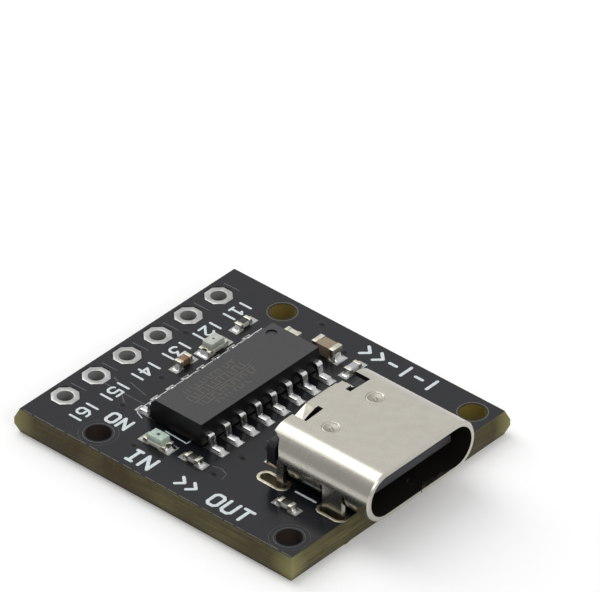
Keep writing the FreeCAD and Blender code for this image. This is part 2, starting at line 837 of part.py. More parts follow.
signals = []
powers = []
for side in (-1, 1):
    for level, y_front, y_rear, jog in ((level_high, 0.25, 0.25, 0.45),
                                        (level_high, 0.75, 1.25, 0.45),
                                        (level_low, 0.25, 0.75, 0.45),
                                        (level_low, 0.75, 1.75, 0.85)):
        path = contact_path(level, side * y_front, side * y_rear, back_face + jog,
                            tail_wide, 0.35)
        signals.append(fuse("signal_contact",
                            path + tail(side * y_rear, tail_wide, level)))
    for y_front, y_rear in ((1.25, power_y[0]), (2.75, power_y[1])):
        path = []
        for level, jog in ((level_high, 0.85), (level_low, 1.20)):
            path += contact_path(level, side * y_front, side * y_rear, back_face + jog,
                                 tail_power_wide, 0.15)
        powers.append(fuse("power_contact",
                           path + tail(side * y_rear, tail_power_wide, level_high)))
signal_set = node("usb_signal_contacts", group("usb_signal_contacts", signals))
power_set = node("usb_power_contacts", group("usb_power_contacts", powers))

plate_half = tongue_wide / 2 + plate_lip
plate = strip_box("mid_plate", block_front - plate_root, tongue_front - tongue_bevel,
                  -plate_half, plate_half, usb_mid - plate_thick / 2, plate_thick)
node("usb_mid_plate", plate)
inlays = group("usb_inlays", [signal_set, power_set, plate])

# Tongue with its thicker root

tongue = body("tongue_blank")
sk = sketch(tongue, "XZ_Plane")
root_front = block_front + root_long
under = usb_mid - tongue_thick / 2
over = usb_mid + tongue_thick / 2
bevel_x = tongue_front - tongue_bevel
outline(sk, [
    (block_front, under - root_step), (root_front, under - root_step),
    (root_front + 0.2, under), (bevel_x, under),
    (tongue_front, under + tongue_bevel), (tongue_front, over - tongue_bevel),
    (bevel_x, over), (root_front + 0.2, over),
    (root_front, over + root_step), (block_front, over + root_step)])
pad(tongue, sk, tongue_wide, middle=True)
node("usb_tongue", cut("usb_tongue", tongue, inlays))

# Moulded block: fills the back of the shell and stands on the board by two pegs

block = body("block_blank")
sk = sketch(block, "YZ_Plane", shoulder_x)
stadium(sk, usb_end, usb_mid, inner_radius - block_clear)
pad(block, sk, block_front - shoulder_x)
low_z = board_top + 0.02
wing_front = side_edge - 0.31
recess = usb_end - 0.27
for x, depth, wing in ((back_face, wing_front - back_face, usb_wide / 2 - 0.06),
                       (wing_front, shoulder_x - wing_front, usb_end + 0.91)):
    sk = sketch(block, "YZ_Plane", x)
    high_z = usb_mid + inner_radius - 0.42
    wing_z = high_z - 0.24
    outline(sk, [
        (-foot_half, low_z), (foot_half, low_z), (wing, usb_mid - 0.5), (wing, wing_z),
        (wing - 0.28, high_z), (recess, high_z), (recess - 0.17, wing_z),
        (0.17 - recess, wing_z), (-recess, high_z), (0.28 - wing, high_z),
        (-wing, wing_z), (-wing, usb_mid - 0.5)])
    pad(block, sk, depth)
sk = sketch(block, "YZ_Plane", shoulder_x)
floor_half = foot_half - 0.05
rectangle(sk, zero, (low_z + usb_mid) / 2, 2 * floor_half, usb_mid - low_z)
pad(block, sk, block_front - shoulder_x)
floor_z = usb_bottom + usb_sheet
sk = sketch(block, "YZ_Plane", block_front)
rectangle(sk, zero, (low_z + floor_z) / 2, 2 * floor_half, floor_z - low_z)
pad(block, sk, belly - block_front - 0.05)
peg_long = board_thick * 0.72
pegs = [prism("block_peg", peg_x, side * usb_end, low_z - peg_long, peg_dia, peg_long, 16)
        for side in (-1, 1)]
node("usb_block", cut("usb_block", fuse("block_pegged", [block] + pegs), inlays))

# Shell: rolled sheet with legs, rear ears, a back flap, dimples and a seam

shell = body("shell_blank")
sk = sketch(shell, "YZ_Plane", usb_back)
stadium(sk, usb_end, usb_mid, usb_radius)
stadium(sk, usb_end, usb_mid, inner_radius)
tube = pad(shell, sk, usb_long)
rim = ease_edges(shell, tube, "Chamfer", usb_sheet * 0.3, lambda edge: (
    edge.CenterOfMass.x > usb_front.value - 0.01 and edge.BoundBox.XLength < 0.01
    and (abs(edge.CenterOfMass.z - usb_mid.value) > inner_radius.value + 0.1
         or abs(edge.CenterOfMass.y) > usb_end.value + inner_radius.value * 0.75)))
sk = sketch(shell, "XZ_Plane")
outline(sk, [
    (usb_back - 1, usb_bottom - 1), (side_edge, usb_bottom - 1), (side_edge, usb_mid + 0.40),
    (side_edge - 0.28, usb_top - 0.48), (side_edge - 0.75, usb_top - usb_sheet),
    (usb_back - 1, usb_top - usb_sheet)])
pocket(shell, sk, usb_wide + 2, middle=True)
sk = sketch(shell, "XY_Plane", usb_bottom - 0.5)
rectangle(sk, (usb_back - 1 + belly) / 2, zero, belly - usb_back + 1, 2 * foot_half)
pocket(shell, sk, usb_sheet + 0.6, back=True)
sk = sketch(shell, "XY_Plane", usb_top + 0.2)
ear_front = usb_back + 1.0
ear_out = usb_end - 0.54
outline(sk, [(usb_back - 1, -ear_out), (ear_front, -ear_out), (ear_front - 0.06, -0.85),
             (usb_back - 1, -0.85)])
outline(sk, [(usb_back - 1, ear_out - 0.60), (ear_front - 0.35, ear_out - 0.60),
             (ear_front - 0.35, ear_out - 1.05), (ear_front, ear_out - 1.05),
             (ear_front + 0.08, ear_out + 0.55), (usb_back - 1, ear_out + 0.55)])
pocket(shell, sk, usb_sheet + 0.5)

# Leg windows in the lower curve, then the legs
leg_in = usb_wide / 2 - usb_sheet
front_leg = slot_front_long - 2 * leg_clear
rear_leg_x = slot_rear + slot_rear_long / 2 - leg_clear - rear_leg / 2
for x, long in ((rear_leg_x + 0.06, rear_leg + 0.42), (slot_front, front_leg + 0.40)):
    sk = sketch(shell, "XY_Plane", usb_bottom - 0.5)
    for side in (-1, 1):
        inside, outside = side * (usb_end + 0.66), side * (usb_wide / 2 + 0.5)
        outline(sk, [(x - long / 2, inside), (x + long / 2, inside),
                     (x + long / 2, outside), (x - long / 2, outside)])
    pocket(shell, sk, usb_radius + 0.42, back=True)
for x, long in ((rear_leg_x, rear_leg), (slot_front, front_leg)):
    sk = sketch(shell, "XY_Plane", board_top - leg_reach)
    for side in (-1, 1):
        outline(sk, [(x - long / 2, side * leg_in), (x + long / 2, side * leg_in),
                     (x + long / 2, side * usb_wide / 2), (x - long / 2, side * usb_wide / 2)])
    pad(shell, sk, usb_mid - board_top + leg_reach)

# Ears: arms of the top sheet that slope down behind it on both sides
sk = sketch(shell, "YZ_Plane", usb_back - 0.10)
outline(sk, [(-0.70, usb_top), (-0.70, usb_top - usb_sheet), (-0.95, usb_top - usb_sheet),
             (0.15 - ear_out, usb_top - usb_sheet - 0.42), (0.07 - ear_out, usb_top - 0.40),
             (-1.15, usb_top)])
pad(shell, sk, as_size(0.66))
sk = sketch(shell, "YZ_Plane", usb_back - 0.10)
outline(sk, [(1.00, usb_top), (1.00, usb_top - usb_sheet), (1.20, usb_top - usb_sheet),
             (ear_out - 0.30, usb_top - usb_sheet - 0.42), (ear_out - 0.15, usb_top - 0.42),
             (1.35, usb_top)])
pad(shell, sk, as_size(0.62))

# Back flap: the top sheet bent down behind the block
flap = body("flap_blank")
sk = sketch(flap, "XZ_Plane")
outline(sk, [
    (usb_back + 0.2, usb_top), (usb_back - 0.12, usb_top),
    (back_face - usb_sheet, usb_top - 0.22),
    (back_face - usb_sheet, usb_mid - 0.35), (back_face, usb_mid - 0.35),
    (back_face, usb_top - usb_sheet - 0.10), (back_face + 0.10, usb_top - usb_sheet),
    (usb_back + 0.2, usb_top - usb_sheet)])
flap_pad = pad(flap, sk, as_size(2.0), middle=True)

ball = (dimple_dia * dimple_dia / 4 + dimple_deep * dimple_deep) / (2 * dimple_deep)
dimple_x = usb_back + dimple_in
bumps = []
balls = []
for side in (-1, 1):
    centre_z = usb_top - dimple_deep + ball
    inside = new("Part::Sphere", "dimple_inside")
    bind(inside, "Radius", ball + usb_sheet)
    place(inside, dimple_x, side * dimple_row, centre_z)
    slab = box("dimple_slab", dimple_x, side * dimple_row, usb_top - usb_sheet - 0.4,
               ball * 3, ball * 3, as_size(0.5))
    bumps.append(common("dimple_bump", inside, slab))
    outside = new("Part::Sphere", "dimple_outside")
    bind(outside, "Radius", ball)
    balls.append(place(outside, dimple_x, side * dimple_row, centre_z))

# Seam along the middle of the belly, with a dovetail near the mouth
seam = body("seam_blank")
seam_wide = as_size(0.05)
sk = sketch(seam, "XY_Plane", usb_bottom - 0.2)
dove_x = usb_front - 0.95
rectangle(sk, (belly + dove_x) / 2 - 0.45, zero, dove_x - belly - 0.9 + 1.6, seam_wide)
pad(seam, sk, usb_sheet + 0.3)
sk = sketch(seam, "XY_Plane", usb_bottom - 0.2)
outline(sk, [
    (dove_x - 0.12, -0.025), (dove_x - 0.35, 0.62), (dove_x + 0.35, 0.62),
    (dove_x + 0.12, -0.025), (usb_front + 0.5, -0.025), (usb_front + 0.5, 0.025),
    (dove_x + 0.19, 0.025), (dove_x + 0.42, 0.67), (dove_x - 0.42, 0.67),
    (dove_x - 0.19, 0.025), (dove_x - 0.40, 0.025), (dove_x - 0.40, -0.025)])
pad(seam, sk, usb_sheet + 0.3)
pressed = cut("shell_pressed", fuse("shell_formed", [shell, flap] + bumps),
              group("shell_presses", balls + [seam]))
node("usb_shell", pressed)

# Joints of the receptacle: at its tails
tail_joints = []
tails = [(y, 0.26) for y in signal_y]
tails += [(side * y, 0.52) for y in power_y for side in (-1, 1)]
for y, wide in tails:
    tail_joints.append(solder(tail_x, as_size(y), as_size(wide), 0.13, as_size(0.2),
                              "-x"))
node("usb_joints", group("usb_joints", tail_joints))

# Test every object, then write the pieces

doc.recompute()
for obj in doc.Objects:
    if "Invalid" in obj.State or "Error" in obj.State:
        raise RuntimeError("%s failed: %s" % (obj.Name, obj.State))
for name, obj in nodes:
    if obj.Shape.isNull() or not obj.Shape.isValid():
        raise RuntimeError("%s has a bad shape" % name)
os.makedirs("parts", exist_ok=True)
for name, obj in nodes:
    obj.Shape.exportStep(os.path.join("parts", name + ".step"))
    bounds = obj.Shape.BoundBox
    print("%-22s solids %3d  volume %9.4f  x %.2f %.2f  y %.2f %.2f  z %.2f %.2f" % (
        name, len(obj.Shape.Solids), obj.Shape.Volume, bounds.XMin, bounds.XMax,
        bounds.YMin, bounds.YMax, bounds.ZMin, bounds.ZMax))
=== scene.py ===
import math
import random

import bpy
import bmesh
from mathutils import Matrix, Vector

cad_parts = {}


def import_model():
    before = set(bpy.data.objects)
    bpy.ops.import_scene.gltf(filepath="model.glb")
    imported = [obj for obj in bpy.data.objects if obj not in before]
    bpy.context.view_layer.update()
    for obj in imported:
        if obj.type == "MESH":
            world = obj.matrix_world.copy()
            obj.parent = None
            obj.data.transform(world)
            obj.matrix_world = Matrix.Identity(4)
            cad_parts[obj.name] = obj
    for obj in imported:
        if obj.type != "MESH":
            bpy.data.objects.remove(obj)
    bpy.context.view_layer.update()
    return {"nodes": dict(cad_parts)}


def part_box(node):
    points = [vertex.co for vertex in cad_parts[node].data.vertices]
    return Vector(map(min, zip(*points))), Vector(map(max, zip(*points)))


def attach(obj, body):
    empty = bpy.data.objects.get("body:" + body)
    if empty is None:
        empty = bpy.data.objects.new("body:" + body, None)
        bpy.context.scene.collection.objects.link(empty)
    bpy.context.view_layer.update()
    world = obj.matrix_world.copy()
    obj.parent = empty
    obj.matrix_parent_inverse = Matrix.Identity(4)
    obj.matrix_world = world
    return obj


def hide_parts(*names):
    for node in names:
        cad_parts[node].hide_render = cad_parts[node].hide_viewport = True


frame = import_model()
nodes = frame["nodes"]
random.seed(7)

# Lengths are written in millimetres and turned into metres by MM.
MM = 0.001


def span(node):
    """Lowest and highest corner of a CAD node, in millimetres."""
    low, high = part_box(node)
    return Vector(low) / MM, Vector(high) / MM


board_high = span("mask_top")[1]
TOP = board_high.z
HALF_WIDE = board_high.y
# The upper face of the lands, on which solder stands
FOOT = span("small_lands")[1].z
MOUNT_X = (-5.33, 8.89)
MOUNT_Y = 7.62
HEADER_PITCH = 2.54
CHIP_PITCH = 1.27
# The dimples of the receptacle: behind its mouth, and to either side of its middle
DIMPLE_BACK = 5.01
DIMPLE_ROW = 1.83
# How high print stands on the board, and how far it stands out below
INK_HIGH = 0.018
UNDER = 0.002
# How far thin trim reaches down into the coat
SUNK = 0.002


# Materials

# Places of the colour sockets on Blender's Mix node
MIX_COLORS_IN = (6, 7)
MIX_COLOR_OUT = 2


class Paint:
    """A material with a Principled shader, and helpers that feed its sockets."""

    def __init__(self, name, color, rough, metal=0.0, **more):
        self.mat = bpy.data.materials.new(name)
        self.mat.use_nodes = True
        self.tree = self.mat.node_tree
        self.shader = self.tree.nodes["Principled BSDF"]
        self.put("Base Color", (*color, 1.0))
        self.put("Roughness", rough)
        self.put("Metallic", metal)
        for socket, value in more.items():
            self.put(socket.replace("_", " "), value)
        self.last_bump = None

    def put(self, socket, value):
        self.shader.inputs[socket].default_value = value

    def add(self, kind, **settings):
        item = self.tree.nodes.new(kind)
        for name, value in settings.items():
            setattr(item, name, value)
        return item

    def link(self, source, target):
        self.tree.links.new(source, target)

    def place(self, stretch=(1, 1, 1)):
        """The place on the object, in millimetres times a stretch for each axis."""
        where = self.add("ShaderNodeTexCoord")
        scaled = self.add("ShaderNodeMapping")
        scaled.inputs["Scale"].default_value = [s / MM for s in stretch]
        self.link(where.outputs["Object"], scaled.inputs["Vector"])
        return scaled.outputs["Vector"]

    def noise(self, scale, detail=2.0, rough=0.5, stretch=(1, 1, 1)):
        """Noise whose lumps are about 1 / scale millimetres wide."""
        item = self.add("ShaderNodeTexNoise")
        item.inputs["Scale"].default_value = scale
        item.inputs["Detail"].default_value = detail
        item.inputs["Roughness"].default_value = rough
        self.link(self.place(stretch), item.inputs["Vector"])
        return item.outputs["Fac"]

    def corner(self):
        """The product of the distances from the board's two middle lines, in mm."""
        place = self.add("ShaderNodeSeparateXYZ")
        self.link(self.place(), place.inputs[0])
        product = self.add("ShaderNodeMath", operation="MULTIPLY")
        self.link(place.outputs["X"], product.inputs[0])
        self.link(place.outputs["Y"], product.inputs[1])
        size = self.add("ShaderNodeMath", operation="ABSOLUTE")
        self.link(product.outputs[0], size.inputs[0])
        return size.outputs[0]

    def remap(self, value, low, high, to_low, to_high):
        item = self.add("ShaderNodeMapRange")
        for socket, number in zip(("From Min", "From Max", "To Min", "To Max"),
                                  (low, high, to_low, to_high)):
            item.inputs[socket].default_value = number
        self.link(value, item.inputs["Value"])
        return item.outputs["Result"]

    def blend(self, factor, a, b):
        """Mix two colours, each a tuple or a socket, by a factor."""
        item = self.add("ShaderNodeMix", data_type="RGBA")
        self.link(factor, item.inputs["Factor"])
        for index, value in zip(MIX_COLORS_IN, (a, b)):
            if isinstance(value, tuple):
                item.inputs[index].default_value = (*value, 1.0)
            else:
                self.link(value, item.inputs[index])
        return item.outputs[MIX_COLOR_OUT]

    def color(self, socket):
        self.link(socket, self.shader.inputs["Base Color"])

    def rough(self, socket):
        self.link(socket, self.shader.inputs["Roughness"])

    def bump(self, height, depth, strength=1.0):
        """Raise the surface by a height field, its depth in millimetres."""
        item = self.add("ShaderNodeBump")
        item.inputs["Strength"].default_value = strength
        item.inputs["Distance"].default_value = depth * MM
        self.link(height, item.inputs["Height"])
        if self.last_bump is not None:
            self.link(self.last_bump, item.inputs["Normal"])
        self.last_bump = item.outputs["Normal"]
        self.link(self.last_bump, self.shader.inputs["Normal"])


def mask_paint():
    """Satin solder mask, its gloss uneven."""
    p = Paint("dark_mask", (0.009, 0.010, 0.013), 0.20, Specular_IOR_Level=0.26)
    cloud = p.noise(0.35, 3.0)
    grain = p.noise(9.0, 2.0)
    p.color(p.blend(cloud, (0.005, 0.006, 0.008), (0.010, 0.011, 0.014)))
    p.rough(p.remap(grain, 0.3, 0.7, 0.16, 0.25))
    p.bump(p.noise(6.0, 3.0), 0.004, 0.4)
    return p.mat


def laminate_paint():
    """Cut glass-fibre: fibres in layers, with painted light that makes it paler and
    greener towards the board's corners.
    """
    p = Paint("glass_laminate", (0.10, 0.08, 0.04), 0.66, Specular_IOR_Level=0.15)
    layers = p.noise(1.0, 3.0, 0.6, (0.35, 0.35, 7.0))
    fibres = p.noise(1.0, 2.0, 0.7, (9.0, 9.0, 26.0))
    patches = p.noise(0.24, 2.0)
    base = p.blend(p.remap(patches, 0.40, 0.66, 0, 1), (0.066, 0.049, 0.022),
                   (0.150, 0.140, 0.062))
    streaked = p.blend(p.remap(layers, 0.35, 0.7, 0, 0.8), base, (0.048, 0.038, 0.022))
    fibrous = p.blend(p.remap(fibres, 0.55, 0.8, 0, 0.6), streaked, (0.19, 0.175, 0.10))
    # Painted light: paler and greener towards the board's corners, where the product of
    # the distances from its middle lines is large
    p.color(p.blend(p.remap(p.corner(), 80, 96, 0, 1), fibrous, (0.27, 0.255, 0.105)))
    p.bump(fibres, 0.03, 0.7)
    p.bump(layers, 0.03, 0.5)
    return p.mat


def metal_paint(name, color, rough, spread=0.08, dent=0.0, dent_scale=3.0, tint=None):
    """Plated or tinned metal, its gloss uneven and its face a little dented."""
    p = Paint(name, color, rough, 1.0)
    cloud = p.noise(1.6, 3.0)
    dark = tint or tuple(c * 0.82 for c in color)
    p.color(p.blend(p.remap(cloud, 0.35, 0.65, 0, 1), color, dark))
    p.rough(p.remap(p.noise(7.0, 3.0), 0.3, 0.7, rough - spread, rough + spread))
    if dent:
        p.bump(p.noise(dent_scale, 3.0), dent, 0.8)
    p.bump(p.noise(30.0, 2.0), 0.002, 0.4)
    return p.mat


def plastic_paint(name, color, rough, grain=12.0, depth=0.006, **more):
    """Moulded plastic or epoxy with a fine grain."""
    p = Paint(name, color, rough, **more)
    cloud = p.noise(0.8, 3.0)
    p.color(p.blend(cloud, tuple(c * 0.85 for c in color),
                    tuple(c * 1.15 for c in color)))
    p.rough(p.remap(p.noise(grain * 0.6, 2.0), 0.3, 0.7, rough - 0.05, rough + 0.05))
    p.bump(p.noise(grain, 3.0), depth, 0.7)
    return p.mat


def ceramic_paint(name, color, speck, rough=0.45):
    """Fired ceramic with fine specks."""
    p = Paint(name, color, rough)
    specks = p.remap(p.noise(11.0, 3.0, 0.7), 0.45, 0.62, 0, 1)
    p.color(p.blend(specks, color, speck))
    p.bump(p.noise(16.0, 2.0), 0.008, 0.7)
    return p.mat


def lens_paint(name, color):
    """Milky epoxy, nearly opaque."""
    p = Paint(name, color, 0.28, Transmission_Weight=0.12, IOR=1.5)
    p.color(p.blend(p.remap(p.noise(5.0, 3.0), 0.35, 0.65, 0, 1), color,
                    tuple(c * 0.80 for c in color)))
    p.bump(p.noise(6.0, 2.0), 0.012, 0.6)
    return p.mat


def ink_paint(name, color, worn):
    """Printed ink, thin in places."""
    p = Paint(name, color, 0.55)
    thin = p.remap(p.noise(14.0, 3.0, 0.7), 0.42, 0.62, 0, 1)
    p.color(p.blend(thin, color, worn))
    p.bump(p.noise(24.0, 2.0), 0.006, 0.5)
    return p.mat


paints = {
    "mask": mask_paint(),
    "laminate": laminate_paint(),
    "pad": metal_paint("pad_tin", (0.44, 0.44, 0.43), 0.34, dent=0.012, dent_scale=5.0),
    "ring": metal_paint("ring_tin", (0.56, 0.52, 0.42), 0.36, dent=0.012,
                        dent_scale=5.0, tint=(0.42, 0.38, 0.27)),
    "barrel": plastic_paint("barrel_tin", (0.25, 0.25, 0.24), 0.45, 6.0, 0.02),
    "solder": metal_paint("solder_tin", (0.62, 0.62, 0.62), 0.20, dent=0.05,
                          dent_scale=4.0, tint=(0.40, 0.40, 0.40)),
    "lead": metal_paint("lead_tin", (0.66, 0.66, 0.66), 0.27, dent=0.01,
                        dent_scale=6.0),
    "end": metal_paint("end_tin", (0.68, 0.66, 0.58), 0.36, dent=0.03, dent_scale=6.0,
                       tint=(0.50, 0.48, 0.38)),
    "steel": metal_paint("shell_steel", (0.50, 0.48, 0.425), 0.25, spread=0.03,
                         tint=(0.475, 0.455, 0.40)),
    # Painted shade: a darker copy of the shell's steel, for its dimples and ears
    "dull_shaded_steel": metal_paint("dimple_steel_shaded", (0.38, 0.36, 0.315), 0.5),
    # Painted shade: near-black, for the inside of the shell and the plate in the tongue
    "shade": plastic_paint("shell_inside_shade", (0.008, 0.007, 0.006), 0.6, 8.0, 0.004,
                           Specular_IOR_Level=0.15),
    "gold": metal_paint("contact_gold", (0.83, 0.66, 0.34), 0.24),
    "chip": plastic_paint("chip_epoxy", (0.012, 0.012, 0.014), 0.42, 14.0, 0.008,
                          Specular_IOR_Level=0.60),
    # Painted shade: the chip's sides are a darker copy of its epoxy
    "chip_side_shaded": plastic_paint("chip_side_shaded", (0.006, 0.006, 0.007), 0.35, 14.0, 0.008,
                               Specular_IOR_Level=0.22),
    "black": plastic_paint("black_moulding", (0.009, 0.010, 0.014), 0.42,
                           Specular_IOR_Level=0.3),
    "tongue": ceramic_paint("tongue_moulding", (0.006, 0.006, 0.009),
                            (0.022, 0.023, 0.028), 0.45),
    # Painted light and shade: walls of the +Y mounting holes lit olive, of the -Y holes
    # shaded brown
    "hole_lit_olive": plastic_paint("hole_lit_olive", (0.21, 0.155, 0.025), 0.6, 9.0, 0.01),
    "hole_shaded_brown": plastic_paint("hole_shaded_brown", (0.030, 0.017, 0.011), 0.6, 9.0, 0.01),
    # Painted highlight: a pale olive for the rims of the +Y mounting holes and for the
    # board's front edge
    "lit_rim_olive": plastic_paint("lit_rim_olive", (0.125, 0.110, 0.055), 0.5),
    "trace": plastic_paint("coated_copper", (0.046, 0.046, 0.050), 0.34, 9.0, 0.004),
    "cap_brown": ceramic_paint("brown_ceramic", (0.20, 0.10, 0.05), (0.30, 0.17, 0.09)),
    "cap_tan": ceramic_paint("tan_ceramic", (0.25, 0.18, 0.12), (0.32, 0.25, 0.18)),
    "cap_ivory": ceramic_paint("ivory_ceramic", (0.62, 0.58, 0.48), (0.72, 0.69, 0.60)),
    "alumina": ceramic_paint("white_alumina", (0.70, 0.70, 0.68), (0.60, 0.60, 0.58)),
    "glaze": plastic_paint("black_glaze", (0.014, 0.014, 0.015), 0.26, 5.0, 0.012),
    "pale_glaze": plastic_paint("pale_glaze", (0.46, 0.46, 0.52), 0.34, 5.0, 0.012),
    "led_base": plastic_paint("light_base", (0.66, 0.66, 0.58), 0.5),
    "lens_green": lens_paint("green_lens", (0.56, 0.70, 0.60)),
    "lens_white": lens_paint("white_lens", (0.60, 0.63, 0.55)),
    "ink": ink_paint("white_ink", (0.72, 0.77, 0.79), (0.56, 0.62, 0.65)),
    # Painted shade: the dark disc that stands in the pit of each via
    "via": plastic_paint("via_pit_shade", (0.008, 0.005, 0.004), 0.45, 6.0, 0.01,
                         Specular_IOR_Level=0.12),
    "mark": ink_paint("faint_mark", (0.115, 0.105, 0.062), (0.072, 0.067, 0.050)),
    "die": plastic_paint("die_dark", (0.045, 0.060, 0.050), 0.35),
}


# Making meshes

def mesh_piece(name, bm, paint, smooth=30, replaced=()):
    """Turn a bmesh in millimetres into a piece on the board, smooth up to an angle."""
    bmesh.ops.scale(bm, vec=(MM, MM, MM), verts=bm.verts)
    bmesh.ops.recalc_face_normals(bm, faces=bm.faces)
    limit = math.radians(smooth)
    for edge in bm.edges:
        edge.smooth = edge.is_manifold and edge.calc_face_angle(0) < limit
    for face in bm.faces:
        face.smooth = True
    mesh = bpy.data.meshes.new(name)
    bm.to_mesh(mesh)
    bm.free()
    obj = bpy.data.objects.new(name, mesh)
    bpy.context.scene.collection.objects.link(obj)
    obj.data.materials.append(paints[paint])
    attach(obj, "root")
    if replaced:
        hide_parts(*replaced)


def capsule(bm, a, b, wide, low, high, dome=0.35, steps=6):
    """A flat stroke with round ends from a to b, its upper rim sloped in."""
    a, b = Vector(a), Vector(b)
    along = (b - a).normalized() if (b - a).length > 1e-6 else Vector((1, 0))
    side = Vector((-along.y, along.x))
    rings = []
    for z, share in ((low, 1.0), (low + (high - low) * 0.6, 1.0), (high, 1.0 - dome)):
        ring = []
        for centre, sign in ((b, 1), (a, -1)):
            for i in range(steps + 1):
                turn = math.pi * (i / steps - 0.5)
                out = (along * math.cos(turn) + side * math.sin(turn)) * sign
                ring.append(bm.verts.new((*(centre + out * wide / 2 * share), z)))
        rings.append(ring)
    for lower, upper in zip(rings, rings[1:]):
        for i in range(len(lower)):
            j = (i + 1) % len(lower)
            bm.faces.new((lower[i], lower[j], upper[j], upper[i]))
    bm.faces.new(rings[-1])
    bm.faces.new(reversed(rings[0]))


def ring(bm, centre, inner, outer, low, high, steps=64, dome=0.3):
    """A flat ring with sloped rims, standing on the board."""
    width = outer - inner
    profile = ((outer, low), (outer - width * dome, high), (inner + width * dome, high),
               (inner, low))
    loops = []
    turns = [math.tau * i / steps for i in range(steps)]
    for radius, z in profile:
        loops.append([bm.verts.new((centre[0] + radius * math.cos(turn),
                                    centre[1] + radius * math.sin(turn), z))
                      for turn in turns])
    for k in range(len(loops)):
        a, b = loops[k], loops[(k + 1) % len(loops)]
        for i in range(steps):
            j = (i + 1) % steps
            bm.faces.new((a[i], a[j], b[j], b[i]))


def bar(bm, low, high):
    """A closed box between two corners."""
    size = [h - l for l, h in zip(low, high)]
    made = bmesh.ops.create_cube(bm, size=1.0)
    middle = [(l + h) / 2 for l, h in zip(low, high)]
    bmesh.ops.scale(bm, vec=size, verts=made["verts"])
    bmesh.ops.translate(bm, vec=middle, verts=made["verts"])


# Finish of the CAD pieces

def dress(node, paint, bevel=0.0, sharp=32):
    """Give a CAD node its material, its edges eased by a bevel in mm or left crisp."""
    obj = nodes[node]
    obj.data.materials.clear()
    obj.data.materials.append(paints[paint])
    weld = obj.modifiers.new("weld", "WELD")
    weld.merge_threshold = 0.0005 * MM
    if bevel:
        ease = obj.modifiers.new("ease", "BEVEL")
        ease.width = bevel * MM
        ease.segments = 2
        ease.limit_method = "ANGLE"
        ease.angle_limit = math.radians(sharp)
    else:
        split = obj.modifiers.new("crisp", "EDGE_SPLIT")
        split.split_angle = math.radians(sharp)
    even = obj.modifiers.new("even", "WEIGHTED_NORMAL")
    even.keep_sharp = True
    for face in obj.data.polygons:
        face.use_smooth = True


def second_paint(node, paint, wanted):
    """Another material on the faces that the test picks, by normal and centre."""
    mesh = nodes[node].data
    mesh.materials.append(paints[paint])
    for face in mesh.polygons:
        if wanted(face.normal, face.center / MM):
            face.material_index = len(mesh.materials) - 1


def dress_board():
    dress("board_core", "laminate")
    # Painted light and shade on the walls of the mounting holes: lit olive at +Y,
    # shaded brown at -Y
    for side, paint in ((1, "hole_lit_olive"), (-1, "hole_shaded_brown")):
        second_paint("board_core", paint, lambda normal, centre: abs(normal.z) < 0.2
                     and any((centre.xy - Vector((x, side * MOUNT_Y))).length < 0.85
                             for x in MOUNT_X))
    second_paint("board_core", "mask", lambda normal, centre: abs(normal.z) > 0.9
                 and centre.z > TOP / 2)
    dress("mask_under", "mask")
    dress("mask_top", "mask")
    dress("header_eyelets", "pad", 0.02)
    second_paint("header_eyelets", "barrel", lambda normal, centre: abs(normal.z) < 0.3
                 and 0.05 < centre.z < TOP - 0.05)
    dress("slot_eyelets", "ring", 0.02)
    dress("via_barrels", "mask")
    for node in ("chip_lands", "usb_lands", "small_lands"):
        dress(node, "pad")


def dress_small_parts():
    for name, paint in (("capacitor_brown", "cap_brown"), ("capacitor_tan", "cap_tan"),
                        ("capacitor_small", "cap_ivory")):
        dress(name + "_body", paint, 0.03)
        dress(name + "_ends", "end", 0.035)
    for name, glaze in (("resistor_data", "glaze"), ("resistor_power", "glaze"),
                        ("resistor_left", "glaze"), ("resistor_right", "pale_glaze")):
        dress(name + "_body", "alumina", 0.012)
        second_paint(name + "_body", glaze, lambda normal, centre: normal.z > 0.7)
        dress(name + "_ends", "end", 0.03)
    for name, lens in (("power_light", "lens_green"), ("data_light", "lens_white")):
        dress(name + "_base", "led_base", 0.012)
        dress(name + "_ends", "end", 0.02)
        dress(name + "_lens", lens, 0.03)


def dress_chip():
    dress("chip_body", "chip", 0, 20)
    # Painted shade: every face of the chip that does not face up is darker
    second_paint("chip_body", "chip_side_shaded", lambda normal, centre: normal.z < 0.8)
    dress("chip_leads", "lead", 0.018)


def dress_receptacle():
    dress("usb_block", "black", 0.02)
    dress("usb_tongue", "tongue", 0.02)
    # Painted shade: the plate inside the tongue is near-black
    dress("usb_mid_plate", "shade")
    dress("usb_signal_contacts", "gold", 0.01)
    dress("usb_power_contacts", "gold", 0.01)
    dress("usb_shell", "steel", 0, 14)
    high = span("usb_shell")[1]
    roof, front = high.z, high.x
    middle = (roof + TOP) / 2
    # The dimples and ears lie just under the roof, and the inside faces the middle. The
    # dimples and ears get a darker, duller steel: painted shade.
    second_paint("usb_shell", "dull_shaded_steel", lambda normal, centre: normal.z > 0.1
                 and roof - 0.25 < centre.z < roof - 0.005 and abs(centre.y) < 2.6
                 and centre.x < front - 1.5)
    # Painted shade: the inside faces of the shell are near-black
    second_paint("usb_shell", "shade", lambda normal, centre: abs(normal.x) < 0.5
                 and centre.x < front - 0.2 and centre.z > TOP
                 and normal.y * centre.y + normal.z * (centre.z - middle) < 0)


def dimple_rims():
    """The bright rim and the small burr that the punch leaves in each dimple."""
    bm = bmesh.new()
    high = span("usb_shell")[1]
    for side in (-1, 1):
        spot = (high.x - DIMPLE_BACK, side * DIMPLE_ROW)
        ring(bm, spot, 0.42, 0.555, high.z - 0.09, high.z - 0.001, 40, 0.45)
        ring(bm, spot, 0.07, 0.17, high.z - 0.17, high.z - 0.10, 20, 0.4)
    mesh_piece("dimple_rims", bm, "steel", 60)


# Solder

